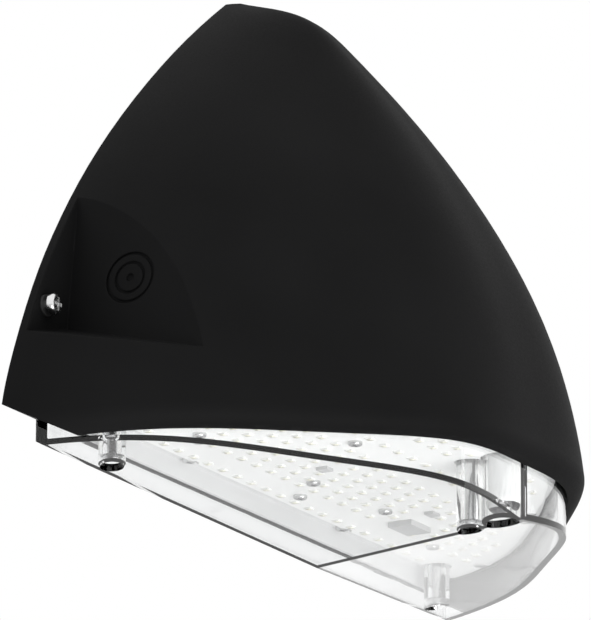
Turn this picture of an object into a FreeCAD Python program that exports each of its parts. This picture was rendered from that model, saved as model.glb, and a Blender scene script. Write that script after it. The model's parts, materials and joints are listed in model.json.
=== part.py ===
"""Wall pack light: a cast dome on a flat wall plate, with a clear lens below it.

The row's frame has the wall plane at Y = 0, the front towards -Y and the origin at the
centre of the junction box pattern. The shapes are written with x along the wall, b for the
distance in front of the wall (y = -b) and t for the height above the dome's lower corners,
and are lifted into the row's frame when they are saved. All sizes are in millimetres.
"""
import FreeCAD, Part
import math
import os
from FreeCAD import Placement, Rotation, Vector

# ---- dome, outer shape ----
HALF_WIDTH = 168.0          # centre to lower corner, on the wall
ARCH_HEIGHT = 205.4         # lower corner to apex
DOME_DEPTH = 139.0
# one side of the pointed arch on the wall: share of the arch height, share of the half width
WALL_PROFILE = ((0.0, 1.0), (0.12, 0.949), (0.26, 0.8675), (0.42, 0.7437), (0.57, 0.597), (0.73, 0.406),
                (0.87, 0.211), (1.0, 0.0))
# centre profile of the dome: share of the arch height, share of the dome depth
FRONT_PROFILE = ((-0.10, 1.0), (0.0, 1.0), (0.12, 0.980), (0.26, 0.931), (0.42, 0.837), (0.57, 0.713),
                 (0.73, 0.547), (0.84, 0.413), (0.90, 0.333), (0.94, 0.254), (0.97, 0.146), (0.992, 0.045))
# poles of one half of a level section, wall to nose: share of the half width, share of the depth
SECTION_POLES = ((1.0, 0.0), (1.0, 0.095), (0.9, 0.425), (0.567, 0.713), (0.296, 1.002), (0.025, 1.0))
RIM_AT_WALL = -14.8         # the tilted rim plane, carried back to the wall
RIM_SLOPE = 0.101
BEVEL_SLOPE = 0.484         # the rear bevel falls away from the wall
RIM_ROUND = 7.0
WALL = 3.0
ROOF = 6.0                  # metal above the cavity at the apex
BACK_GAP = 0.3              # dome edge to the wall
MOUNT_HEIGHT = 75.0         # origin above the lower corners

# ---- side recesses ----
RECESS_IN = 35.5            # side face behind the lower corners, at their height
RECESS_LEAN = 0.134         # side face leans in, per mm of height
RECESS_FLOOR = 38.2         # floor height at the inner rear corner
FLOOR_FALL = 0.25           # floor falls outwards, per mm
FLANGE_BACK = 2.15
FLANGE = 1.7                # fixing flange, flat against the plate

# ---- lens ----
LENS_IN = 7.8               # lens outline inside the dome's lowest section
LENS_BACK = 9.0
LENS_WALL = 3.2
LENS_CORNER = 1.5
RIDGE_B = 41.0              # lowest point of the lens, where its three facets meet
RIDGE_T = -31.4
FACET_RISE = 0.09           # front facets rise forwards
FACET_SIDE = 0.119          # and to the sides
REAR_FACET = 0.57           # the rear facet rises to the wall
LENS_GAP = 0.6              # lens to dome mouth
BOSS_SIDE_IN = 41.0         # rear bosses in from the lower corners
BOSS_SIDE_B = 24.0
BOSS_FRONT_IN = 30.6        # front boss behind the nose
BOSS_R = 5.2
WELL_IN = 16.3              # sensor well behind the nose
WELL_R = 8.2
WELL_WALL = 1.7
HEAD_RECESS = 6.0
BOSS_HEIGHT = 12.0
THREAD = 9.0                # screw engagement above the ledge's underside
FIT = 0.4
LENS_SCREW_R = 2.0
LENS_HEAD_R = 3.6
LENS_HEAD = 2.2
WASHER = 0.8
CROWN_SHARE = 0.6           # head rounding, share of the head's height
CROSS_ARM = 0.62            # cross recess, shares of the head's radius
CROSS_WIDTH = 0.17
CROSS_DEPTH = 0.35
TRAY_SCREW_R = 1.5
TRAY_SCREW_EDGE = 5.0
TRAY_SCREW_X = 60.0
TRAY_SCREW_TURNS = (0.10, 0.23)     # shares of the way round the lens outline
SMALL_HEAD_R = 2.8
SMALL_HEAD = 1.6
BOARD_SCREW_R = 1.5
BOARD_GAP = 0.8
BOARD_SCREWS = ((4.1, 31.0), (-12.0, 46.0), (40.0, 49.0), (96.0, 39.0), (-88.0, 39.0), (-48.6, 84.5),
                (30.0, 92.5))
# board parts: x, b, length, width, height
CHIPS = ((65.0, 46.0, 16.0, 10.5, 2.2), (52.7, 63.0, 6.0, 4.0, 1.2), (-28.0, 60.0, 5.0, 5.0, 1.2))
SENSOR_STEM_R = 4.0
SENSOR_NUT = 3.5
SENSOR_NUT_R = 6.5

# ---- seat, gasket, tray and board ----
SEAT = 5.0                  # underside of the dome's inner ledge
LEDGE = 3.5
LEDGE_WIDTH = 12.0
GASKET = 1.5
GASKET_WIDTH = 3.0
TRAY = 1.5
TRAY_GAP = 1.2              # tray to lens wall
TRAY_LIP = 9.4              # height of the lip bent down along the tray's back edge
BOARD = 1.6
BOARD_MARGIN = 7.5          # board edge inside the lens outline
BOARD_BACK = 20.0
LED_SIZE = 3.0
LED_HEIGHT = 0.6
LED_PITCH = 11.2
LED_ROW = 7.5
LED_FIRST_ROW = 24.5
LED_ROWS = (0, 2, 3, 4, 5, 6, 7, 9, 11, 12)
LED_MARGIN = 6.0
LED_CLEAR = 4.2             # free radius about a fixing on the board

# ---- wall plate and hinge ----
PLATE_BACK = 0.8            # thickness of the wall gasket
PLATE = 1.2
PLATE_GAP = 0.8             # plate edge to the dome wall
PLATE_BOTTOM = 10.0
BOX_CIRCLE = 88.9           # junction box hole circle
BOX_HOLE_R = 2.75
BOX_PAD = 3.0               # pad round each hole, down to the wall
WIRE_HOLE_R = 14.0
HINGE_IN = 56.0             # hinges in from the lower corners
HINGE_B = 5.5
HINGE_T = 0.0
PIN_R = 1.5
PIN_FIT = 0.05
KNUCKLE_R = 2.8
KNUCKLE_LENGTH = 14.0
EAR = 2.0
EAR_GAP = 0.6
EAR_ROOT = 3.5              # depth of the ear's upright arm
EAR_OVERLAP = 4.0
COLLAR = 1.2                # wall of the tapped collar

# ---- side screws ----
SIDE_SCREW_OUT = 10.5       # outside the recess's side face
SIDE_SCREW_T = 44.0
SIDE_SCREW_R = 2.0
SCREW_FIT = 0.05
SCREW_TRAVEL = 2.0
RETAINER = 0.8
HEAD_R = 4.2
HEAD_HEIGHT = 2.6

# ---- conduit entries ----
ENTRY_B = 30.0
ENTRY_T = 56.0
ENTRY_R = 10.5
ENTRY_BOSS_WALL = 3.0
ENTRY_BOSS = 6.0
PLUG_LENGTH = 8.0
PLUG_RING_R = 6.1
PLUG_EDGE = 1.2             # width of the rim step and of the ring groove
PLUG_DEEP = 0.9
PLUG_DIMPLE_R = 1.6

# ---- electrical parts above the tray ----
DRIVER = (130.0, 46.0, 28.0)
DRIVER_B = 50.0
FOOT = 9.0
SHEET = 1.2
SURGE = (34.0, 24.0, 22.0)
BLOCK = (36.0, 16.0, 14.0)
LEAD_R = 1.1
LEAD_SPREAD = 6.0
BEND_SHARE = 0.45           # bend start, share of the shorter run beside it
LEAD_UP = 9.0
LEAD_STEP = 1.0             # height of one output lead over the other, halved
LEAD_OUT = 18.0
LEAD_HOLE_IN = 72.0         # hole for the leads in from the lower corner
LEAD_HOLE_B = 58.0
GROMMET_R = 5.0
GROMMET_LIP = 1.2
DRIVER_X = 0.0
DRIVER_SCREW_R = 1.5
CASE_ROUND = 2.0
SURGE_X = 44.0
SURGE_IN = 51.0             # surge protector behind the nose
BLOCK_X = -42.0
BLOCK_IN = 52.0             # terminal block behind the nose
BLOCK_POLES = 3
GROUND_R = 2.0
GROUND_X = 40.0
GROUND_T = 40.0
GASKET_EDGE = 1.0

SAMPLES = 16                # points along half an outline
HALVINGS = 50               # steps of a search along a curve
TOUCH = 0.01                # edges are picked within this distance
FAR = 400.0

# ---- places that follow from the sizes above ----
RECESS_SIDE = HALF_WIDTH - RECESS_IN
BOSS_SIDE_X = HALF_WIDTH - BOSS_SIDE_IN
BOSS_FRONT_B = DOME_DEPTH - BOSS_FRONT_IN
WELL_B = DOME_DEPTH - WELL_IN
HINGE_X = HALF_WIDTH - HINGE_IN
SIDE_SCREW_X = RECESS_SIDE + SIDE_SCREW_OUT
LEAD_HOLE_X = HALF_WIDTH - LEAD_HOLE_IN
SURGE_B = DOME_DEPTH - SURGE_IN
BLOCK_B = DOME_DEPTH - BLOCK_IN


def at(x, b, t):
    """A point from distance along the wall, distance off the wall and height."""
    return Vector(x, -b, t)


def block(x0, x1, b0, b1, t0, t1):
    return Part.makeBox(x1 - x0, b1 - b0, t1 - t0, at(x0, b1, t0))


def rod(radius, x, b, t0, t1):
    return Part.makeCylinder(radius, t1 - t0, at(x, b, t0), Vector(0, 0, 1))


def rod_x(radius, x0, x1, b, t):
    return Part.makeCylinder(radius, x1 - x0, at(x0, b, t), Vector(1, 0, 0))


def rod_b(radius, x, t, b0, b1):
    return Part.makeCylinder(radius, b1 - b0, at(x, b0, t), Vector(0, -1, 0))


def fuse(shapes):
    whole = shapes[0]
    for shape in shapes[1:]:
        whole = whole.fuse(shape)
    return whole.removeSplitter()


def cut(shape, tools):
    for tool in tools:
        shape = shape.cut(tool)
    return shape


def mirrored(shape):
    return shape.mirror(Vector(0, 0, 0), Vector(1, 0, 0))


def both(shape):
    return [shape, mirrored(shape)]


def prism_b(points, b0, b1, fall=Vector(0, 0, 0)):
    """A prism along b from (x, t) points; fall moves its far end sideways or down."""
    corners = [at(x, b0, t) for x, t in points]
    face = Part.Face(Part.makePolygon(corners + corners[:1]))
    return face.extrude(Vector(0, b0 - b1, 0) + fall)


def prism_x(points, x0, x1):
    """A prism along x from (b, t) points."""
    corners = [at(x0, b, t) for b, t in points]
    face = Part.Face(Part.makePolygon(corners + corners[:1]))
    return face.extrude(Vector(x1 - x0, 0, 0))


def below(point, normal):
    """Everything near the light that lies under a plane."""
    slab = Part.makeBox(2 * FAR, 2 * FAR, FAR, Vector(-FAR, -FAR, -FAR))
    slab.Placement = Placement(point, Rotation(Vector(0, 0, 1), normal))
    return slab


# ---- dome ----

def search(low, high, passed):
    """The parameter between low and high from which passed holds, by halving."""
    for step in range(HALVINGS):
        middle = (low + high) / 2
        if passed(middle):
            high = middle
        else:
            low = middle
    return high


def interpolated(points, parameters=None):
    curve = Part.BSplineCurve()
    if parameters is None:
        curve.interpolate(points)
    else:
        curve.interpolate(Points=points, Parameters=parameters)
    return curve


def wall_curve(inset, roof):
    """Right side of the pointed arch on the wall, drawn in by inset and lowered by roof.

    Its parameter is the share of the height.
    """
    half = HALF_WIDTH - inset
    tall = ARCH_HEIGHT - roof
    points = [at(half * width, 0, tall * share) for share, width in WALL_PROFILE]
    return interpolated(points, [share for share, width in WALL_PROFILE])


def wall_point(curve, share, inset):
    """The arch's point at a share of the height, moved inwards along the wall."""
    tangent = curve.tangent(share)[0]
    return curve.value(share) + Vector(-tangent.z, 0, tangent.x) * inset


def section_curve(half, depth, height):
    """Level section of the dome from right to left: cheek, soft corner, nose."""
    poles = [at(half * x, depth * b, height) for x, b in SECTION_POLES]
    poles += [at(-half * x, depth * b, height) for x, b in reversed(SECTION_POLES)]
    curve = Part.BSplineCurve()
    curve.buildFromPoles(poles, False, 3)
    return curve


def section_point(curve, turn, inset):
    """The section's point at a parameter, moved inwards."""
    tangent = curve.tangent(turn)[0]
    return curve.value(turn) + Vector(tangent.y, -tangent.x, 0) * inset


def half_turns(curve, inset, base):
    """Parameters of the right half of the inset section, from its base to the nose."""
    nose = (curve.FirstParameter + curve.LastParameter) / 2
    start = search(curve.FirstParameter, nose, lambda turn: -section_point(curve, turn, inset).y > base)
    return [start + (nose - start) * i / SAMPLES for i in range(SAMPLES + 1)]


def rounded_d(inset, back, height, corner):
    """The lowest section drawn in by inset, with a straight back and rounded rear corners."""
    curve = section_curve(HALF_WIDTH, DOME_DEPTH, height)
    base = back + corner
    right = [section_point(curve, turn, inset) for turn in half_turns(curve, inset, base)]
    half = right[0].x
    left = [Vector(-point.x, point.y, height) for point in reversed(right[:-1])]
    bow = interpolated([at(half, base, height)] + right[1:] + left[:-1] + [at(-half, base, height)])
    reach = corner * math.sqrt(0.5)
    shapes = [bow]
    for side in (-1, 1):
        turn = at(side * (half - corner + reach), base - reach, height)
        shapes.append(Part.Arc(at(side * half, base, height), turn, at(side * (half - corner), back, height)))
    shapes.append(Part.LineSegment(at(corner - half, back, height), at(half - corner, back, height)))
    return Part.Wire(Part.__sortEdges__([shape.toShape() for shape in shapes]))


def dome_solid(inset, roof):
    """The dome's bulk through level sections, drawn in by inset and lowered by roof."""
    curve = wall_curve(inset, roof)
    sections = []
    for height_share, depth_share in FRONT_PROFILE:
        half = curve.value(max(height_share, 0.0)).x
        bow = section_curve(half, depth_share * (DOME_DEPTH - inset), height_share * (ARCH_HEIGHT - roof))
        back = Part.makeLine(bow.EndPoint, bow.StartPoint)
        sections.append(Part.Wire([bow.toShape(), back]))
    return Part.makeLoft(sections, True, False)


def rim_height(b):
    return RIM_AT_WALL + RIM_SLOPE * b


def bevel_height(b):
    return -BEVEL_SLOPE * b


def dome_outer():
    """The dome cut by its rear bevel and tilted rim, with the rim's lower edge rounded."""
    bulk = dome_solid(0.0, 0.0)
    knee = -RIM_AT_WALL / (BEVEL_SLOPE + RIM_SLOPE)
    side = [(BACK_GAP, bevel_height(BACK_GAP)), (knee, bevel_height(knee)), (FAR, rim_height(FAR)),
            (FAR, FAR), (BACK_GAP, FAR)]
    bulk = bulk.common(prism_x(side, -FAR, FAR))
    rim = []
    for edge in bulk.Edges:
        middle = edge.valueAt((edge.FirstParameter + edge.LastParameter) / 2)
        if abs(middle.z - rim_height(-middle.y)) < TOUCH and -middle.y > knee + RIM_ROUND:
            rim.append(edge)
    return bulk.makeFillet(RIM_ROUND, rim)


def lens_plan(inset, bottom, top, back=None):
    """A prism over the lens outline, drawn in by inset."""
    back = LENS_BACK + inset if back is None else back
    outline = rounded_d(LENS_IN + inset, back, bottom, max(LENS_CORNER - inset, GASKET_EDGE))
    return Part.Face(outline).extrude(Vector(0, 0, top - bottom))


def recess_prism(grow):
    """The space of the left recess; grow adds its floor, side and flange walls."""
    floor = RECESS_FLOOR - grow
    side = RECESS_SIDE - grow
    start = FLANGE_BACK + (FLANGE if grow == 0 else 0)
    inner = side - RECESS_LEAN * floor
    points = [(-inner, floor), (-inner - FAR, floor - FLOOR_FALL * FAR),
              (-inner - FAR, FAR), (-(side - RECESS_LEAN * FAR), FAR)]
    fall = Vector(-RECESS_LEAN * FLOOR_FALL * FAR, 0, -FLOOR_FALL * FAR)
    return prism_b(points, start, start + FAR, fall)


def entry_frame():
    """Placement of the left conduit entry, with +Z out of its face."""
    outward = Vector(-1, 0, RECESS_LEAN).normalize()
    face_x = -(RECESS_SIDE - RECESS_LEAN * ENTRY_T)
    return Placement(at(face_x, ENTRY_B, ENTRY_T), Rotation(Vector(0, 0, 1), outward))


def entry_rod(radius, bottom, top):
    shape = Part.makeCylinder(radius, top - bottom, Vector(0, 0, bottom))
    shape.Placement = entry_frame()
    return shape


def housing():
    outer = dome_outer()
    ledge_top = SEAT + LEDGE
    above_ledge = block(-FAR, FAR, -FAR, FAR, ledge_top, FAR)
    below_ledge = block(-FAR, FAR, -FAR, FAR, -FAR, ledge_top)
    body = outer.cut(dome_solid(WALL, ROOF).common(above_ledge))
    walls = [outer.common(shape).cut(below_ledge) for shape in both(recess_prism(WALL))]
    collars = both(entry_rod(ENTRY_R + ENTRY_BOSS_WALL, -WALL - ENTRY_BOSS, 0.0))
    walls += [shape.common(outer) for shape in collars]
    mouth = lens_plan(-LENS_GAP, -FAR, SEAT)
    ledge_opening = lens_plan(LEDGE_WIDTH, -FAR, ledge_top)
    body = cut(fuse([body] + walls), both(recess_prism(0.0)) + [mouth, ledge_opening])
    return cut(fuse([body] + housing_bosses()), housing_holes())


def housing_bosses():
    """Screw bosses under the dome, the front boss's arm and the hinge knuckles."""
    bosses = both(rod(BOSS_R, BOSS_SIDE_X, BOSS_SIDE_B, SEAT, SEAT + BOSS_HEIGHT))
    bosses.append(rod(BOSS_R, 0, BOSS_FRONT_B, SEAT, SEAT + BOSS_HEIGHT))
    bosses.append(block(-BOSS_R, BOSS_R, BOSS_FRONT_B, WELL_B + BOSS_R, SEAT, SEAT + LEDGE))
    half = KNUCKLE_LENGTH / 2
    return bosses + both(rod_x(KNUCKLE_R, HINGE_X - half, HINGE_X + half, HINGE_B, HINGE_T))


def housing_holes():
    """Screw holes, hinge slots and bores, the conduit entries and the sensor's hole."""
    tools = [rod(LENS_SCREW_R, x, b, SEAT, SEAT + THREAD) for x, b in lens_screw_places()]
    tools += [rod(TRAY_SCREW_R, x, b, SEAT, SEAT + LEDGE) for x, b in tray_screw_places()]
    tools.append(rod(SENSOR_STEM_R + FIT, 0, WELL_B, SEAT, SEAT + LEDGE))
    for ear in ear_places():
        slot = block(ear - EAR_GAP, ear + EAR + EAR_GAP, 0.0, EAR_ROOT + EAR_GAP, -FAR, SEAT + LEDGE)
        room = rod_x(KNUCKLE_R + EAR_GAP, ear - EAR_GAP, ear + EAR + EAR_GAP, HINGE_B, HINGE_T)
        tools += both(slot) + both(room)
    tools += both(rod_x(PIN_R + PIN_FIT, *pin_ends(EAR_GAP), HINGE_B, HINGE_T))
    tools += both(rod_b(SIDE_SCREW_R + SCREW_FIT, SIDE_SCREW_X, SIDE_SCREW_T, 0.0, FLANGE_BACK + FLANGE))
    deep = WALL + ENTRY_BOSS
    return tools + both(entry_rod(ENTRY_R, -deep, deep))


# ---- lens and what holds it ----

def facets(lift):
    """Everything below the lens's three facets, raised by lift."""
    point = at(0, RIDGE_B, RIDGE_T + lift)
    slopes = ((-FACET_SIDE, FACET_RISE), (FACET_SIDE, FACET_RISE), (0, -REAR_FACET))
    return [below(point, Vector(across, out, 1)) for across, out in slopes]


def lens_screw_places():
    return ((-BOSS_SIDE_X, BOSS_SIDE_B), (BOSS_SIDE_X, BOSS_SIDE_B), (0.0, BOSS_FRONT_B))


def facet_height(x, b):
    """Height of the lens's underside."""
    front = RIDGE_T + FACET_RISE * (b - RIDGE_B) + FACET_SIDE * abs(x)
    return max(front, RIDGE_T - REAR_FACET * (b - RIDGE_B))


def lens_top():
    return SEAT - GASKET


def lens():
    deep = RIDGE_T - LENS_WALL
    hollow = cut(lens_plan(LENS_WALL, deep, lens_top()), facets(LENS_WALL))
    body = lens_plan(0.0, deep, lens_top()).cut(hollow)
    bosses = [rod(BOSS_R, x, b, deep, lens_top()) for x, b in lens_screw_places()]
    well = rod(WELL_R, 0, WELL_B, deep, lens_top())
    body = cut(fuse([body] + bosses + [well]), facets(0.0))
    tools = [rod(WELL_R - WELL_WALL, 0, WELL_B, deep, lens_top())]
    for x, b in lens_screw_places():
        tools.append(rod(LENS_SCREW_R + FIT, x, b, deep, lens_top()))
        tools.append(rod(HEAD_R + FIT, x, b, deep, head_seat(x, b)))
    return cut(body, tools)


def head_seat(x, b):
    return facet_height(x, b) + HEAD_RECESS


def pan_head(radius, height, x, b, top):
    """A pan head below the height top, with a rounded crown and a cross recess."""
    head = rod(radius, x, b, top - height, top)
    crown = [edge for edge in head.Edges if abs(edge.BoundBox.ZMax - (top - height)) < TOUCH]
    head = head.makeFillet(height * CROWN_SHARE, crown)
    return cut(head, cross(radius, x, b, top - height))


def cross(radius, x, b, start):
    arm = radius * CROSS_ARM
    half = radius * CROSS_WIDTH
    depth = radius * CROSS_DEPTH
    return [block(x - arm, x + arm, b - half, b + half, start, start + depth),
            block(x - half, x + half, b - arm, b + arm, start, start + depth)]


def lens_screws():
    shapes = []
    for x, b in lens_screw_places():
        seat = head_seat(x, b) - WASHER
        head = pan_head(LENS_HEAD_R, LENS_HEAD, x, b, seat)
        shapes.append(fuse([head, rod(LENS_SCREW_R, x, b, seat, SEAT + THREAD)]))
    return shapes


def lens_washers():
    shapes = []
    for x, b in lens_screw_places():
        seat = head_seat(x, b)
        ring = rod(LENS_HEAD_R, x, b, seat - WASHER, seat)
        shapes.append(ring.cut(rod(LENS_SCREW_R, x, b, seat - WASHER, seat)))
    return shapes


def lens_gasket():
    ring = lens_plan(0.0, lens_top(), SEAT)
    return ring.cut(lens_plan(GASKET_WIDTH, lens_top(), SEAT))


# ---- sensor in the lens's front well ----

def sensor():
    """Dark light sensor: an eye in the well, with a threaded stem through the ledge."""
    eye_r = WELL_R - WELL_WALL - FIT
    bottom = facet_height(0, WELL_B) + HEAD_RECESS
    eye = rod(eye_r, 0, WELL_B, bottom, SEAT - TRAY)
    edge = [edge for edge in eye.Edges if abs(edge.BoundBox.ZMax - bottom) < TOUCH]
    eye = eye.makeFillet(eye_r * CROWN_SHARE, edge)
    return fuse([eye, rod(SENSOR_STEM_R, 0, WELL_B, SEAT - TRAY, SEAT + LEDGE + 2 * SENSOR_NUT)])


def sensor_nut():
    start = SEAT + LEDGE
    corner = Vector(SENSOR_NUT_R, 0, 0)
    turns = [Rotation(Vector(0, 0, 1), 60 * i) for i in range(6)]
    corners = [at(0, WELL_B, start) + turn.multVec(corner) for turn in turns]
    nut = Part.Face(Part.makePolygon(corners + corners[:1])).extrude(Vector(0, 0, SENSOR_NUT))
    return nut.cut(rod(SENSOR_STEM_R, 0, WELL_B, start, start + SENSOR_NUT))


# ---- tray, board and LEDs ----

def tray():
    """White sheet tray with its back edge bent down inside the lens's rear wall."""
    inset = LENS_WALL + TRAY_GAP
    back = LENS_BACK + inset
    edge = block(-FAR, FAR, back, back + TRAY, SEAT - TRAY_LIP, SEAT)
    lip = lens_plan(inset, SEAT - TRAY_LIP, SEAT).common(edge)
    plate = lens_plan(inset, SEAT - TRAY, SEAT)
    holes = [rod(LENS_SCREW_R + FIT, x, b, SEAT - TRAY, SEAT) for x, b in lens_screw_places()]
    holes += [rod(TRAY_SCREW_R + FIT, x, b, SEAT - TRAY, SEAT) for x, b in tray_screw_places()]
    holes += [rod(BOARD_SCREW_R, x, b, SEAT - TRAY, SEAT) for x, b in BOARD_SCREWS]
    holes += [rod(DRIVER_SCREW_R, x, b, SEAT - TRAY, SEAT) for x, b in driver_screw_places()]
    holes += [rod(DRIVER_SCREW_R, x, b, SEAT - TRAY, SEAT) for x, b in surge_screw_places()]
    holes += [rod(DRIVER_SCREW_R, x, b, SEAT - TRAY, SEAT) for x, b in block_screw_places()]
    holes.append(rod(SENSOR_STEM_R + FIT, 0, WELL_B, SEAT - TRAY, SEAT))
    holes.append(rod(GROMMET_R, LEAD_HOLE_X, LEAD_HOLE_B, SEAT - TRAY, SEAT))
    return cut(fuse([plate, lip]), holes)


def tray_screw_places():
    """Two at the back and two on each side, under the ledge."""
    middle = LENS_WALL + TRAY_GAP + TRAY_SCREW_EDGE
    curve = section_curve(HALF_WIDTH, DOME_DEPTH, 0)
    points = [section_point(curve, turn, LENS_IN + middle) for turn in TRAY_SCREW_TURNS]
    places = [(TRAY_SCREW_X, LENS_BACK + middle)] + [(point.x, -point.y) for point in points]
    return places + [(-x, b) for x, b in places]


def tray_screws():
    shapes = []
    for x, b in tray_screw_places():
        head = pan_head(SMALL_HEAD_R, SMALL_HEAD, x, b, SEAT - TRAY)
        shapes.append(fuse([head, rod(TRAY_SCREW_R, x, b, SEAT - TRAY, SEAT + LEDGE)]))
    return shapes


def board_bottom():
    return SEAT - TRAY - BOARD


def board():
    top = SEAT - TRAY
    plate = lens_plan(BOARD_MARGIN, board_bottom(), top, BOARD_BACK)
    holes = [rod(BOSS_R + BOARD_GAP, x, b, board_bottom(), top) for x, b in lens_screw_places()]
    holes.append(rod(WELL_R + BOARD_GAP, 0, WELL_B, board_bottom(), top))
    holes += [rod(BOARD_SCREW_R + FIT, x, b, board_bottom(), top) for x, b in BOARD_SCREWS]
    holes += [rod(SMALL_HEAD_R + BOARD_GAP, x, b, board_bottom(), top) for x, b in tray_screw_places()]
    return cut(plate, holes)


def board_screws():
    shapes = []
    for x, b in BOARD_SCREWS:
        head = pan_head(SMALL_HEAD_R, SMALL_HEAD, x, b, board_bottom())
        shapes.append(fuse([head, rod(BOARD_SCREW_R, x, b, board_bottom(), SEAT)]))
    return shapes


def board_half_width(b):
    """Half width of the board at a distance off the wall."""
    curve = section_curve(HALF_WIDTH, DOME_DEPTH, 0)
    turn = half_turns(curve, LENS_IN + BOARD_MARGIN, b)[0]
    return section_point(curve, turn, LENS_IN + BOARD_MARGIN).x


def led_places():
    """Rows along the wall; every other row is shifted by half a pitch."""
    busy = [(x, b, BOSS_R + LED_SIZE) for x, b in lens_screw_places()]
    busy.append((0, WELL_B, WELL_R + LED_SIZE))
    busy += [(x, b, LED_CLEAR) for x, b in BOARD_SCREWS]
    busy += [(x, b, math.hypot(length, width) / 2 + LED_SIZE) for x, b, length, width, height in CHIPS]
    places = []
    for row in LED_ROWS:
        b = LED_FIRST_ROW + LED_ROW * row
        shift = LED_PITCH / 2 * (row % 2)
        reach = board_half_width(b + LED_SIZE) - LED_MARGIN
        count = int((reach - shift) / LED_PITCH)
        for i in range(-count - row % 2, count + 1):
            x = shift + LED_PITCH * i
            if all(math.hypot(x - bx, b - bb) > room for bx, bb, room in busy):
                places.append((x, b))
    return places


def leds():
    half = LED_SIZE / 2
    return [block(x - half, x + half, b - half, b + half, board_bottom() - LED_HEIGHT, board_bottom())
            for x, b in led_places()]


def board_chips():
    return [block(x - length / 2, x + length / 2, b - width / 2, b + width / 2,
                  board_bottom() - height, board_bottom()) for x, b, length, width, height in CHIPS]


# ---- electrical parts on top of the tray ----

def footed_box(x, b, size):
    """A case on two end feet, with a hole in each foot."""
    length, width, height = size
    case = block(x - length / 2, x + length / 2, b - width / 2, b + width / 2, SEAT, SEAT + height)
    upright = [edge for edge in case.Edges if edge.BoundBox.ZLength > height / 2]
    case = case.makeFillet(CASE_ROUND, upright)
    reach = length / 2 + FOOT
    foot = block(x - reach, x + reach, b - width / 4, b + width / 4, SEAT, SEAT + SHEET)
    places = foot_places(x, b, size)
    holes = [rod(DRIVER_SCREW_R + FIT, foot_x, foot_b, SEAT, SEAT + SHEET) for foot_x, foot_b in places]
    return cut(fuse([case, foot]), holes)


def foot_places(x, b, size):
    reach = size[0] / 2 + FOOT / 2
    return ((x - reach, b), (x + reach, b))


def foot_screws(places):
    shapes = []
    for x, b in places:
        top = SEAT + SHEET + SMALL_HEAD
        head = rod(SMALL_HEAD_R, x, b, SEAT + SHEET, top)
        crown = [edge for edge in head.Edges if abs(edge.BoundBox.ZMin - top) < TOUCH]
        head = head.makeFillet(SMALL_HEAD * CROWN_SHARE, crown)
        shapes.append(fuse([head, rod(DRIVER_SCREW_R, x, b, SEAT - TRAY, SEAT + SHEET)]))
    return shapes


def driver_screw_places():
    return foot_places(DRIVER_X, DRIVER_B, DRIVER)


def surge_screw_places():
    return foot_places(SURGE_X, SURGE_B, SURGE)


def block_screw_places():
    return foot_places(BLOCK_X, BLOCK_B, BLOCK)


def block_screws():
    """Wire clamping screws on the terminal block's top."""
    shapes = []
    for i in range(BLOCK_POLES):
        x = BLOCK_X + (i - (BLOCK_POLES - 1) / 2) * BLOCK[0] / BLOCK_POLES
        top = SEAT + BLOCK[2]
        head = rod(SMALL_HEAD_R, x, BLOCK_B, top, top + SHEET)
        half = SHEET / 4
        slot = block(x - SMALL_HEAD_R, x + SMALL_HEAD_R, BLOCK_B - half, BLOCK_B + half,
                     top + SHEET / 2, top + SHEET)
        shapes.append(head.cut(slot))
    return shapes


def lead(points, radius):
    """A round lead along straight runs joined by tangent arcs."""
    edges = []
    start = points[0]
    for before, corner, after in zip(points, points[1:], points[2:]):
        arriving = corner - before
        leaving = after - corner
        turn = arriving.getAngle(leaving)
        bend = BEND_SHARE * min(arriving.Length, leaving.Length)
        arriving.normalize()
        leaving.normalize()
        first = corner - arriving * bend
        last = corner + leaving * bend
        arc_radius = bend / math.tan(turn / 2)
        inward = (leaving - arriving).normalize()
        middle = corner + inward * (arc_radius / math.cos(turn / 2) - arc_radius)
        edges.append(Part.LineSegment(start, first).toShape())
        edges.append(Part.Arc(first, middle, last).toShape())
        start = last
    edges.append(Part.LineSegment(start, points[-1]).toShape())
    path = Part.Wire(edges)
    ring = Part.Wire(Part.makeCircle(radius, points[0], points[1] - points[0]))
    return path.makePipeShell([ring], True, False)


def output_leads():
    """Two leads from the driver's end, down through the tray to the board."""
    shapes = []
    end = DRIVER_X + DRIVER[0] / 2
    height = SEAT + LEAD_UP
    for side in (-1, 1):
        b = DRIVER_B + side * LEAD_SPREAD
        hole_b = LEAD_HOLE_B + side * (LEAD_R + FIT)
        step = side * LEAD_STEP
        points = [at(end, b, height + step), at(end + LEAD_OUT, b, height + step),
                  at(LEAD_HOLE_X, hole_b, height - step), at(LEAD_HOLE_X, hole_b, board_bottom() + BOARD)]
        shapes.append(lead(points, LEAD_R))
    return shapes


def input_leads():
    """Two leads from the driver's other end round to the end of the terminal block."""
    shapes = []
    end = DRIVER_X - DRIVER[0] / 2
    height = SEAT + LEAD_UP
    middle = SEAT + BLOCK[2] / 2
    for side in (-1, 1):
        b = DRIVER_B + side * LEAD_SPREAD
        turn = end - LEAD_OUT + side * LEAD_SPREAD / 2
        to_b = BLOCK_B - side * LEAD_SPREAD / 2
        points = [at(end, b, height), at(turn, b, height), at(turn, to_b, middle),
                  at(BLOCK_X - BLOCK[0] / 2, to_b, middle)]
        shapes.append(lead(points, LEAD_R))
    return shapes


def lead_grommet():
    ring = rod(GROMMET_R + GROMMET_LIP, LEAD_HOLE_X, LEAD_HOLE_B, SEAT, SEAT + GROMMET_LIP)
    ring = ring.fuse(rod(GROMMET_R, LEAD_HOLE_X, LEAD_HOLE_B, SEAT - TRAY, SEAT))
    return ring.cut(rod(GROMMET_R - GROMMET_LIP, LEAD_HOLE_X, LEAD_HOLE_B, SEAT - TRAY, SEAT + GROMMET_LIP))


# ---- conduit plugs ----

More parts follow.
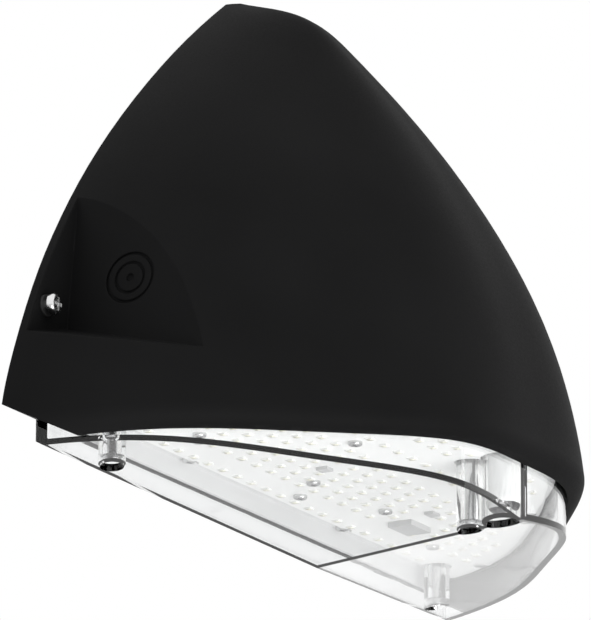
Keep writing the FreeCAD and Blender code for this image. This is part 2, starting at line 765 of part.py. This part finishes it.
def conduit_plug():
    """Left plug: a disc with a stepped rim, a ring groove and a centre dimple."""
    rim = entry_rod(ENTRY_R, -PLUG_DEEP, 0.0).cut(entry_rod(ENTRY_R - PLUG_EDGE, -PLUG_DEEP, 0.0))
    groove = entry_rod(PLUG_RING_R + PLUG_EDGE / 2, -PLUG_DEEP, 0.0)
    groove = groove.cut(entry_rod(PLUG_RING_R - PLUG_EDGE / 2, -PLUG_DEEP, 0.0))
    dimple = entry_rod(PLUG_DIMPLE_R, -PLUG_DEEP, 0.0)
    return cut(entry_rod(ENTRY_R, -PLUG_LENGTH, 0.0), [rim, groove, dimple])


def plate_outline(back, front, inset, bottom):
    """The pointed arch of the dome's cavity, drawn in by inset, as a prism along b."""
    curve = wall_curve(WALL, ROOF)
    top = FRONT_PROFILE[-1][0] * (ARCH_HEIGHT - ROOF) - inset
    start = search(0, 1, lambda share: wall_point(curve, share, inset).z > bottom)
    end = search(0, 1, lambda share: wall_point(curve, share, inset).z > top)
    shares = [start + (end - start) * i / SAMPLES for i in range(SAMPLES + 1)]
    side = [wall_point(curve, share, inset) + Vector(0, -back, 0) for share in shares]
    other = [Vector(-point.x, point.y, point.z) for point in side]
    edges = [interpolated(side).toShape(), interpolated(other).toShape()]
    edges += [Part.makeLine(side[i], other[i]) for i in (0, -1)]
    return Part.Face(Part.Wire(Part.__sortEdges__(edges))).extrude(Vector(0, back - front, 0))


def box_holes(radius, back, front):
    reach = BOX_CIRCLE / 2
    places = ((reach, 0), (0, reach), (-reach, 0), (0, -reach))
    return [rod_b(radius, x, MOUNT_HEIGHT + t, back, front) for x, t in places]


def ear_places():
    half = KNUCKLE_LENGTH / 2 + EAR_GAP
    return (HINGE_X - half - EAR, HINGE_X + half)


def pin_ends(extra=0.0):
    inner, outer = ear_places()
    return (inner - extra, outer + EAR + extra)


def back_plate():
    front = PLATE_BACK + PLATE
    plate = plate_outline(PLATE_BACK, front, PLATE_GAP, PLATE_BOTTOM)
    ears = []
    for ear in ear_places():
        arm = block(ear, ear + EAR, PLATE_BACK, EAR_ROOT, HINGE_T, PLATE_BOTTOM + EAR_OVERLAP)
        ears += both(arm.fuse(rod_x(KNUCKLE_R, ear, ear + EAR, HINGE_B, HINGE_T)))
    collars = both(rod_b(SIDE_SCREW_R + COLLAR, SIDE_SCREW_X, SIDE_SCREW_T, 0.0, PLATE_BACK))
    collars += box_holes(BOX_HOLE_R + BOX_PAD, 0.0, PLATE_BACK)
    tools = box_holes(BOX_HOLE_R, 0.0, front)
    tools += both(rod_b(SIDE_SCREW_R + SCREW_FIT, SIDE_SCREW_X, SIDE_SCREW_T, 0.0, front))
    tools.append(rod_b(WIRE_HOLE_R, 0, MOUNT_HEIGHT, PLATE_BACK, front))
    tools.append(rod_b(GROUND_R, GROUND_X, GROUND_T, PLATE_BACK, front))
    tools += both(rod_x(PIN_R, *pin_ends(), HINGE_B, HINGE_T))
    return cut(fuse([plate] + ears + collars), tools)


def wall_gasket():
    """Foam sheet behind the plate, cut out round its holes and collars."""
    sheet = plate_outline(0.0, PLATE_BACK, PLATE_GAP + GASKET_EDGE, PLATE_BOTTOM + GASKET_EDGE)
    tools = box_holes(BOX_HOLE_R + BOX_PAD + GASKET_EDGE, 0.0, PLATE_BACK)
    tools.append(rod_b(WIRE_HOLE_R + GASKET_EDGE, 0, MOUNT_HEIGHT, 0.0, PLATE_BACK))
    tools += both(rod_b(SIDE_SCREW_R + COLLAR + GASKET_EDGE, SIDE_SCREW_X, SIDE_SCREW_T, 0.0, PLATE_BACK))
    tools.append(rod_b(GROUND_R + GASKET_EDGE, GROUND_X, GROUND_T, 0.0, PLATE_BACK))
    return cut(sheet, tools)


def hinge_pins():
    return both(rod_x(PIN_R, *pin_ends(), HINGE_B, HINGE_T))


def wire_bushing():
    """Rubber bushing in the plate's wire hole."""
    front = PLATE_BACK + PLATE
    lip = rod_b(WIRE_HOLE_R + GROMMET_LIP, 0, MOUNT_HEIGHT, front, front + GROMMET_LIP)
    ring = lip.fuse(rod_b(WIRE_HOLE_R, 0, MOUNT_HEIGHT, PLATE_BACK, front))
    return ring.cut(rod_b(WIRE_HOLE_R - 2 * GROMMET_LIP, 0, MOUNT_HEIGHT, PLATE_BACK, front + GROMMET_LIP))


def ground_screw():
    front = PLATE_BACK + PLATE
    washer = rod_b(SMALL_HEAD_R + WASHER, GROUND_X, GROUND_T, front, front + WASHER)
    head = rod_b(SMALL_HEAD_R, GROUND_X, GROUND_T, front + WASHER, front + WASHER + SMALL_HEAD)
    return fuse([washer, head, rod_b(GROUND_R, GROUND_X, GROUND_T, PLATE_BACK, front)])


def side_screw():
    """Right captive screw, backed off: its head stands proud of the retaining washer."""
    tip = FLANGE_BACK - SCREW_FIT
    under = FLANGE_BACK + FLANGE + RETAINER + SCREW_TRAVEL + SCREW_FIT
    shank = rod_b(SIDE_SCREW_R, SIDE_SCREW_X, SIDE_SCREW_T, tip, under)
    head = rod_b(HEAD_R, SIDE_SCREW_X, SIDE_SCREW_T, under, under + HEAD_HEIGHT)
    face = under + HEAD_HEIGHT
    crown = [edge for edge in head.Edges
             if abs(edge.BoundBox.YMin + face) < TOUCH and edge.BoundBox.YLength < TOUCH]
    head = head.makeFillet(HEAD_HEIGHT * CROWN_SHARE, crown)
    arm = HEAD_R * CROSS_ARM
    half = HEAD_R * CROSS_WIDTH
    recess = [block(SIDE_SCREW_X - dx, SIDE_SCREW_X + dx, face - HEAD_R * CROSS_DEPTH, face,
                    SIDE_SCREW_T - dt, SIDE_SCREW_T + dt) for dx, dt in ((arm, half), (half, arm))]
    return cut(fuse([shank, head]), recess)


def screw_retainers():
    back = FLANGE_BACK + FLANGE
    ring = rod_b(HEAD_R, SIDE_SCREW_X, SIDE_SCREW_T, back, back + RETAINER)
    return both(ring.cut(rod_b(SIDE_SCREW_R + SCREW_FIT, SIDE_SCREW_X, SIDE_SCREW_T, back, back + RETAINER)))


def save(name, shapes):
    """Lift the shapes into the row's frame and write them as one file."""
    shapes = shapes if isinstance(shapes, list) else [shapes]
    solids = [solid.copy() for shape in shapes for solid in shape.Solids]
    for solid in solids:
        solid.translate(Vector(0, 0, -MOUNT_HEIGHT))
    whole = solids[0] if len(solids) == 1 else Part.makeCompound(solids)
    whole.exportStep("parts/" + name + ".step")


def main():
    os.makedirs("parts", exist_ok=True)
    save("housing", housing())
    save("lens", lens())
    save("lens_gasket", lens_gasket())
    save("lens_screws", lens_screws())
    save("lens_washers", lens_washers())
    save("sensor", sensor())
    save("sensor_nut", sensor_nut())
    save("tray", tray())
    save("tray_screws", tray_screws())
    save("led_board", board())
    save("board_screws", board_screws())
    save("leds", leds())
    save("board_chips", board_chips())
    save("driver", footed_box(DRIVER_X, DRIVER_B, DRIVER))
    save("driver_screws", foot_screws(driver_screw_places()))
    save("surge_protector", footed_box(SURGE_X, SURGE_B, SURGE))
    save("surge_screws", foot_screws(surge_screw_places()))
    save("terminal_block", footed_box(BLOCK_X, BLOCK_B, BLOCK))
    save("terminal_block_screws", foot_screws(block_screw_places()))
    save("terminal_screws", block_screws())
    save("output_leads", output_leads())
    save("input_leads", input_leads())
    save("lead_grommet", lead_grommet())
    save("conduit_plug_left", conduit_plug())
    save("conduit_plug_right", mirrored(conduit_plug()))
    save("screw_retainers", screw_retainers())
    save("side_screw_left", mirrored(side_screw()))
    save("side_screw_right", side_screw())
    save("back_plate", back_plate())
    save("wall_gasket", wall_gasket())
    save("hinge_pins", hinge_pins())
    save("wire_bushing", wire_bushing())
    save("ground_screw", ground_screw())


main()
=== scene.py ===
import json
import math

import bpy
import numpy as np
from mathutils import Matrix, Vector


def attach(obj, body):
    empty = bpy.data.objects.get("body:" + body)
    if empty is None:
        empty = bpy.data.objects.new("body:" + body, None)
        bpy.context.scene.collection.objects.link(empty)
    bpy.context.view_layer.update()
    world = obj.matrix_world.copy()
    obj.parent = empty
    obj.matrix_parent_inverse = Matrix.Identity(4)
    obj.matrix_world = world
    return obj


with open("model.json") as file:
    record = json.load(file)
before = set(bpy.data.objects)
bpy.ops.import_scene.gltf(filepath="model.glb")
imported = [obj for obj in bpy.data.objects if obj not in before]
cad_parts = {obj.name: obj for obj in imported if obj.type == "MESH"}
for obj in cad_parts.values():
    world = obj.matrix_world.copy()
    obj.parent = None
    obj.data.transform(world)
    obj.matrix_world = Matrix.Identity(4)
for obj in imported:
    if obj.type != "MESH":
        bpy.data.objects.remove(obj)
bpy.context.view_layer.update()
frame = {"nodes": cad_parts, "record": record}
nodes = frame["nodes"]

# Lengths are in metres unless a name says otherwise, and grains are in features per metre.

# Photograph: its size in pixels, where the aim point falls in it, and the camera's direction and distance.
PHOTO_W, PHOTO_H = 591, 620
AIM_PX = (356.6, 290.7)
AIM = Vector((0, -0.0585, 0.003))
AZIMUTH = math.radians(-60.8)
ELEVATION = math.radians(-16.0)
DISTANCE = 3.315
FOCAL_PX = 8500
FILM_MM = 36
CLIP_NEAR, CLIP_FAR = 0.1, 100

# Studio: the world's level as diffuse light, the floor, and for each softbox its place, what it faces,
# its side and its power in watts.
WORLD_LEVEL = 0.8
FLOOR_Z = -2.4
FLOOR_HALF = 14
SOFTBOXES = {
    "right_front": ((1.5, -1.7, 0.5), (0, -0.06, 0), 1.4, 7),
    "low_front": ((-0.6, -1.6, -1.5), (0, -0.06, -0.03), 1.8, 32),
}

# Sockets of a colour mix node.
MIX_A, MIX_B, MIX_RESULT = 6, 7, 2
BEVEL_RAYS = 4

# Patterns of every finish: a band is the part of the values that counts, from nothing to full.
NOISE_ROUGHNESS = 0.55
MID_BAND = (0.3, 0.7)
EDGE_BAND = (0.02, 0.35)
BLOTCH_GRAIN = 14
WEAR_GRAIN, WEAR_BAND = 90, (0.42, 0.68)
ROUGH_SPREAD = 0.06

# Brushed metal: its drawn lines, its smears, and how far tone and roughness go either way.
LINE_GRAIN, LINE_DEPTH = 900, 0.00001
SMEAR_GRAIN, SMEAR_BAND = 60, (0.35, 0.7)
METAL_DARK, METAL_BRIGHT = 0.72, 1.12
METAL_SMOOTHER, METAL_ROUGHER = 0.07, 0.1
METAL_EDGE = 0.0003

# Clear lens: its faint haze and the slow ripple of its moulded faces.
LENS_TINT = (0.985, 0.99, 0.992)
LENS_IOR = 1.49
HAZE_GRAIN, HAZE_BAND, HAZE_ROUGH = 40, (0.45, 0.8), 0.02
RIPPLE_GRAIN, RIPPLE_DEPTH = 55, 0.00001

# Light sensor: a dark window below EYE_WINDOW_Z in a pale body.
EYE_WINDOW_Z = -0.0915
EYE_DARK, EYE_PALE, EYE_DRIFT = (0.012, 0.012, 0.014), (0.8, 0.8, 0.79), 0.9
EYE_ROUGH = (0.1, 0.3)
EYE_GRAIN, EYE_DEPTH, EYE_EDGE = 300, 0.000004, 0.0004

# Phosphor pads under the LEDs.
PAD_HALF = 0.00125
PAD_DROP = 0.00008
PAD_TURNS = 16
PAD_RINGS = 4
WELD_DIGITS = 6

# Painted and moulded finishes: colour, colour on worn edges, roughness, grain and its depth.
COATED = {
    "black_casting": dict(tone=(0.0092, 0.0092, 0.0094), worn=(0.018, 0.018, 0.0185), rough=0.62,
                          grain=1400, depth=0.00002, edge=0.001, specular=0.04),
    "dark_plastic": dict(tone=(0.03, 0.03, 0.03), worn=(0.06, 0.06, 0.06), rough=0.5,
                         grain=900, depth=0.00002),
    "white_tray": dict(tone=(0.66, 0.66, 0.66), worn=(0.7, 0.7, 0.7), rough=0.5,
                       grain=1200, depth=0.00001, spread=0.02),
    "white_board": dict(tone=(0.87, 0.87, 0.86), worn=(0.75, 0.74, 0.68), rough=0.35,
                        grain=1500, depth=0.00001, spread=0.02),
    "led": dict(tone=(0.9, 0.895, 0.87), worn=(0.9, 0.9, 0.88), rough=0.4,
                grain=1500, depth=0.00001, spread=0.02),
    "phosphor": dict(tone=(0.9, 0.88, 0.74), worn=(0.9, 0.88, 0.76), rough=0.4,
                     grain=1500, depth=0.00001, spread=0.02),
    "chip": dict(tone=(0.5, 0.5, 0.5), worn=(0.6, 0.6, 0.6), rough=0.45,
                 grain=1500, depth=0.00001, spread=0.06),
    "foam": dict(tone=(0.03, 0.03, 0.032), worn=(0.06, 0.06, 0.06), rough=0.85,
                 grain=2200, depth=0.00015),
    "black_rubber": dict(tone=(0.02, 0.02, 0.02), worn=(0.05, 0.05, 0.05), rough=0.65,
                         grain=1500, depth=0.00003),
    "driver_case": dict(tone=(0.72, 0.72, 0.7), worn=(0.5, 0.5, 0.5), rough=0.4,
                        grain=1200, depth=0.00001, spread=0.03),
    "surge_case": dict(tone=(0.05, 0.05, 0.055), worn=(0.1, 0.1, 0.1), rough=0.45,
                       grain=1200, depth=0.00002),
    "block_plastic": dict(tone=(0.76, 0.75, 0.7), worn=(0.82, 0.8, 0.75), rough=0.5,
                          grain=900, depth=0.00002, spread=0.03),
    "lead_jacket": dict(tone=(0.45, 0.04, 0.03), worn=(0.6, 0.1, 0.08), rough=0.4,
                        grain=700, depth=0.00002),
    "pale_floor": dict(tone=(0.8, 0.8, 0.8), worn=(0.8, 0.8, 0.8), rough=0.7,
                       grain=40, depth=0.0001, spread=0.02),
}

# Bare metals: colour, roughness, and how the pattern is scaled along x, y and z.
BRUSHED = {
    "steel": dict(tone=(0.8, 0.8, 0.8), rough=0.2, stretch=(1, 1, 1)),
    "plate_steel": dict(tone=(0.6, 0.61, 0.62), rough=0.36, stretch=(0.05, 1, 1)),
    "green_steel": dict(tone=(0.06, 0.36, 0.12), rough=0.3, stretch=(1, 1, 1)),
    "brass": dict(tone=(0.78, 0.58, 0.28), rough=0.28, stretch=(1, 1, 1)),
}


# ---------------------------------------------------------------- camera, floor and light

def toward_camera():
    """Unit vector from the aim point to the camera: azimuth round +Z from the front, then elevation."""
    return Vector((math.sin(AZIMUTH) * math.cos(ELEVATION),
                   -math.cos(AZIMUTH) * math.cos(ELEVATION),
                   math.sin(ELEVATION)))


def photo_camera():
    """Camera at the photograph's angle, shifted so that the aim point falls where it does there."""
    lens = bpy.data.cameras.new("photo_camera")
    lens.sensor_width = FILM_MM
    lens.lens = FOCAL_PX * FILM_MM / PHOTO_H
    lens.shift_x = (PHOTO_W / 2 - AIM_PX[0]) / PHOTO_H
    lens.shift_y = (AIM_PX[1] - PHOTO_H / 2) / PHOTO_H
    lens.clip_start = CLIP_NEAR
    lens.clip_end = CLIP_FAR
    camera = bpy.data.objects.new("photo_camera", lens)
    back = toward_camera()
    side = Vector((0, 0, 1)).cross(back).normalized()
    up = back.cross(side)
    turn = Matrix((side, up, back)).transposed().to_4x4()
    camera.matrix_world = Matrix.Translation(AIM + DISTANCE * back) @ turn
    bpy.context.scene.collection.objects.link(camera)
    bpy.context.scene.camera = camera


def softbox(name, place, aim, side, power):
    """A square area lamp of that side at place, facing aim."""
    lamp = bpy.data.lights.new(name, "AREA")
    lamp.size = side
    lamp.energy = power
    obj = bpy.data.objects.new(name, lamp)
    obj.location = place
    obj.rotation_euler = (Vector(place) - Vector(aim)).to_track_quat("Z", "Y").to_euler()
    bpy.context.scene.collection.objects.link(obj)


def studio():
    """World: white to the camera, in reflections and through glass, and a grey level as diffuse light."""
    world = bpy.data.worlds.new("studio")
    bpy.context.scene.world = world
    world.use_nodes = True
    tree = world.node_tree
    back = tree.nodes["Background"]
    back.inputs["Color"].default_value = (1, 1, 1, 1)
    path = tree.nodes.new("ShaderNodeLightPath")
    seen = path.outputs["Is Camera Ray"]
    for ray in ("Is Transmission Ray", "Is Glossy Ray"):
        either = tree.nodes.new("ShaderNodeMath")
        either.operation = "MAXIMUM"
        tree.links.new(seen, either.inputs[0])
        tree.links.new(path.outputs[ray], either.inputs[1])
        seen = either.outputs[0]
    level = tree.nodes.new("ShaderNodeMapRange")
    level.inputs["To Min"].default_value = WORLD_LEVEL
    level.inputs["To Max"].default_value = 1
    tree.links.new(seen, level.inputs["Value"])
    tree.links.new(level.outputs["Result"], back.inputs["Strength"])


def pale_floor():
    """Flat square floor, far below the light on its wall."""
    mesh = bpy.data.meshes.new("floor")
    corners = np.array([(-1, -1, 0), (1, -1, 0), (1, 1, 0), (-1, 1, 0)]) * FLOOR_HALF + (0, 0, FLOOR_Z)
    mesh.from_pydata(corners.tolist(), [], [(0, 1, 2, 3)])
    floor = bpy.data.objects.new("floor", mesh)
    bpy.context.scene.collection.objects.link(floor)
    mesh.materials.append(finishes["pale_floor"])


# ---------------------------------------------------------------- finishes

class Finish:
    """A node material: one Principled shader whose inputs follow patterns on Object coordinates."""

    def __init__(self, name):
        self.material = bpy.data.materials.new(name)
        self.material.use_nodes = True
        self.tree = self.material.node_tree
        self.shader = self.tree.nodes["Principled BSDF"]
        self.object = self.add("ShaderNodeTexCoord").outputs["Object"]

    def add(self, kind, **settings):
        node = self.tree.nodes.new(kind)
        for key, value in settings.items():
            setattr(node, key, value)
        return node

    def put(self, socket, value):
        """value is a socket to link, or a number or colour to set."""
        if isinstance(value, bpy.types.NodeSocket):
            self.tree.links.new(value, socket)
        else:
            if hasattr(value, "__len__") and len(value) == 3 and socket.type == "RGBA":
                value = (*value, 1)
            socket.default_value = value

    def set(self, **inputs):
        """Shader inputs by name, with _ for each space."""
        for key, value in inputs.items():
            self.put(self.shader.inputs[key.replace("_", " ")], value)

    def noise(self, grain, detail, stretch=(1, 1, 1)):
        """Noise with about that many features per metre, longer where stretch is small."""
        place = self.add("ShaderNodeMapping")
        self.put(place.inputs["Vector"], self.object)
        place.inputs["Scale"].default_value = stretch
        field = self.add("ShaderNodeTexNoise")
        self.put(field.inputs["Vector"], place.outputs["Vector"])
        self.put(field.inputs["Scale"], grain)
        self.put(field.inputs["Detail"], detail)
        self.put(field.inputs["Roughness"], NOISE_ROUGHNESS)
        return field.outputs["Fac"]

    def span(self, value, band, start=0.0, end=1.0):
        """value from the ends of band carried to start..end."""
        node = self.add("ShaderNodeMapRange")
        for key, given in (("Value", value), ("From Min", band[0]), ("From Max", band[1]),
                           ("To Min", start), ("To Max", end)):
            self.put(node.inputs[key], given)
        return node.outputs["Result"]

    def math(self, kind, a, b):
        node = self.add("ShaderNodeMath", operation=kind)
        self.put(node.inputs[0], a)
        self.put(node.inputs[1], b)
        return node.outputs[0]

    def mix(self, share, a, b):
        """Colour a where share is 0 and b where it is 1."""
        node = self.add("ShaderNodeMix", data_type="RGBA")
        self.put(node.inputs["Factor"], share)
        self.put(node.inputs[MIX_A], a)
        self.put(node.inputs[MIX_B], b)
        return node.outputs[MIX_RESULT]

    def bump(self, height, depth, normal=None):
        """Relief of that depth where height goes from 0 to 1."""
        node = self.add("ShaderNodeBump")
        self.put(node.inputs["Strength"], 1.0)
        self.put(node.inputs["Distance"], depth)
        self.put(node.inputs["Height"], height)
        if normal is not None:
            self.put(node.inputs["Normal"], normal)
        return node.outputs["Normal"]

    def rounded(self, radius):
        """Normal that turns smoothly over every edge, as if it had that radius."""
        bevel = self.add("ShaderNodeBevel", samples=BEVEL_RAYS)
        self.put(bevel.inputs["Radius"], radius)
        return bevel.outputs["Normal"]

    def edge(self, radius):
        """1 near a sharp edge, 0 beyond radius from it: how far a rounded normal leaves the true one."""
        true = self.add("ShaderNodeNewGeometry").outputs["Normal"]
        dot = self.add("ShaderNodeVectorMath", operation="DOT_PRODUCT")
        self.put(dot.inputs[0], self.rounded(radius))
        self.put(dot.inputs[1], true)
        return self.span(self.math("SUBTRACT", 1.0, dot.outputs["Value"]), EDGE_BAND)


def coated(name, tone, worn, rough, grain, depth, edge=0.0006, specular=0.5, spread=0.15):
    """Painted or moulded finish: slow colour drift, fine grain in roughness and relief, worn round edges."""
    f = Finish(name)
    drift = f.span(f.noise(BLOTCH_GRAIN, 2), MID_BAND)
    fine = f.noise(grain, 3)
    pale = tuple(min(1, c * (1 + spread)) for c in tone)
    deep = tuple(c * (1 - spread) for c in tone)
    wear = f.math("MULTIPLY", f.edge(edge), f.span(f.noise(WEAR_GRAIN, 4), WEAR_BAND))
    f.set(Base_Color=f.mix(wear, f.mix(drift, deep, pale), worn),
          Roughness=f.span(fine, MID_BAND, rough - ROUGH_SPREAD, rough + ROUGH_SPREAD),
          Normal=f.bump(fine, depth, f.rounded(edge)), Specular_IOR_Level=specular)
    return f.material


def sensor_eye(name):
    """Light sensor: a dark glossy window at the lower end, up to EYE_WINDOW_Z, in a pale moulded body."""
    f = Finish(name)
    split = f.add("ShaderNodeSeparateXYZ")
    f.put(split.inputs["Vector"], f.object)
    body = f.math("GREATER_THAN", split.outputs["Z"], EYE_WINDOW_Z)
    fine = f.noise(EYE_GRAIN, 3)
    drift = f.span(f.noise(BLOTCH_GRAIN, 2), MID_BAND)
    deep = tuple(c * EYE_DRIFT for c in EYE_PALE)
    f.set(Base_Color=f.mix(body, EYE_DARK, f.mix(drift, deep, EYE_PALE)),
          Roughness=f.span(fine, MID_BAND, *EYE_ROUGH),
          Normal=f.bump(fine, EYE_DEPTH, f.rounded(EYE_EDGE)))
    return f.material


def brushed(name, tone, rough, stretch):
    """Metal with fine drawn lines along the axis whose stretch is small."""
    f = Finish(name)
    lines = f.noise(LINE_GRAIN, 3, stretch)
    smears = f.span(f.noise(SMEAR_GRAIN, 3), SMEAR_BAND)
    dark = tuple(c * METAL_DARK for c in tone)
    bright = tuple(min(1, c * METAL_BRIGHT) for c in tone)
    f.set(Base_Color=f.mix(f.edge(METAL_EDGE), f.mix(smears, dark, tone), bright), Metallic=1.0,
          Roughness=f.span(lines, MID_BAND, rough - METAL_SMOOTHER, rough + METAL_ROUGHER),
          Normal=f.bump(lines, LINE_DEPTH, f.rounded(METAL_EDGE)))
    return f.material


def clear_plastic(name):
    """Clear moulded plastic. Lamps reach what is behind it, through a Transparent shader for shadow rays."""
    f = Finish(name)
    haze = f.span(f.noise(HAZE_GRAIN, 3), HAZE_BAND, 0.0, HAZE_ROUGH)
    ripple = f.noise(RIPPLE_GRAIN, 1)
    f.set(Base_Color=LENS_TINT, Transmission_Weight=1.0, IOR=LENS_IOR, Roughness=haze,
          Normal=f.bump(ripple, RIPPLE_DEPTH))
    clear = f.add("ShaderNodeBsdfTransparent")
    f.put(clear.inputs["Color"], LENS_TINT)
    mixed = f.add("ShaderNodeMixShader")
    f.put(mixed.inputs["Fac"], f.add("ShaderNodeLightPath").outputs["Is Shadow Ray"])
    f.put(mixed.inputs[1], f.shader.outputs["BSDF"])
    f.put(mixed.inputs[2], clear.outputs["BSDF"])
    f.put(f.tree.nodes["Material Output"].inputs["Surface"], mixed.outputs["Shader"])
    return f.material


# ---------------------------------------------------------------- detail pieces

def islands(mesh):
    """Centre and half size of each separate closed shape in a mesh, as two arrays with a row for each.

    Points at one place are one point. Each point starts with its own number, and both ends of every edge
    take the lower of their numbers until nothing changes, so each shape ends with one number.
    """
    points = np.empty(3 * len(mesh.vertices), np.float32)
    mesh.vertices.foreach_get("co", points)
    points = points.reshape(-1, 3).astype(float)
    ends = np.empty(2 * len(mesh.edges), np.int32)
    mesh.edges.foreach_get("vertices", ends)
    keys = np.unique(np.round(points, WELD_DIGITS), axis=0, return_inverse=True)[1].ravel()
    ends = keys[ends.reshape(-1, 2)]
    label = np.arange(keys.max() + 1)
    while True:
        lower = np.minimum(label[ends[:, 0]], label[ends[:, 1]])
        nearer = label.copy()
        np.minimum.at(nearer, ends[:, 0], lower)
        np.minimum.at(nearer, ends[:, 1], lower)
        if (nearer == label).all():
            break
        label = nearer
    shapes, own = np.unique(label[keys], return_inverse=True)
    low = np.full((len(shapes), 3), np.inf)
    high = -low
    np.minimum.at(low, own.ravel(), points)
    np.maximum.at(high, own.ravel(), points)
    return (low + high) / 2, (high - low) / 2


def phosphor_pads():
    """Phosphor pad under each LED, all in one mesh.

    With u = 2 pi i / PAD_TURNS and ring radius q in 0..1, a point is
    centre + PAD_HALF q (cos u, sin u) / (|cos u|^4 + |sin u|^4)^(1/4), a square with round corners,
    and it hangs PAD_DROP sqrt(1 - q^4) below the LED. A flat face closes each pad against its LED.
    """
    turn = 2 * math.pi * np.arange(PAD_TURNS) / PAD_TURNS
    across, along = np.cos(turn), np.sin(turn)
    reach = PAD_HALF / (across ** 4 + along ** 4) ** 0.25
    q = np.linspace(1, 0, PAD_RINGS + 1)[:-1, None]
    drop = np.repeat(PAD_DROP * np.sqrt(1 - q ** 4), PAD_TURNS, axis=1)
    rings = np.stack([q * reach * across, q * reach * along, -drop], axis=-1).reshape(-1, 3)
    pad = np.vstack([rings, (0, 0, -PAD_DROP)])

    here = np.arange(PAD_TURNS)
    after = (here + 1) % PAD_TURNS
    first = PAD_TURNS * np.arange(PAD_RINGS - 1)[:, None]
    bands = np.stack([first + after, first + here, first + PAD_TURNS + here, first + PAD_TURNS + after],
                     axis=-1).reshape(-1, 4)
    tip = PAD_RINGS * PAD_TURNS
    last = tip - PAD_TURNS
    nose = np.stack([last + after, last + here, np.full(PAD_TURNS, tip)], axis=-1)

    centres, halves = islands(nodes["leds"].data)
    under = centres - halves * (0, 0, 1)
    vertices = (under[:, None] + pad).reshape(-1, 3)
    start = len(pad) * np.arange(len(under))[:, None]
    faces = []
    for pattern in (bands, nose, here[None]):
        faces += (start[:, None] + pattern).reshape(-1, pattern.shape[1]).tolist()

    mesh = bpy.data.meshes.new("phosphor_pads")
    mesh.from_pydata(vertices.tolist(), [], faces)
    mesh.polygons.foreach_set("use_smooth", [True] * len(faces))
    mesh.update()
    mesh.materials.append(finishes["phosphor"])
    pads = bpy.data.objects.new("phosphor_pads", mesh)
    bpy.context.scene.collection.objects.link(pads)
    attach(pads, "head")


photo_camera()
studio()

finishes = {name: coated(name, **look) for name, look in COATED.items()}
finishes.update({name: brushed(name, **look) for name, look in BRUSHED.items()})
finishes["clear_lens"] = clear_plastic("clear_lens")
finishes["dark_sensor"] = sensor_eye("dark_sensor")
for part in frame["record"]["subparts"]:
    mesh = nodes[part["node"]].data
    mesh.materials.clear()
    mesh.materials.append(finishes[part["material_slot"]])

phosphor_pads()

for name, (place, aim, side, power) in SOFTBOXES.items():
    softbox(name, place, aim, side, power)
pale_floor()

bpy.context.scene.view_settings.view_transform = "Standard"
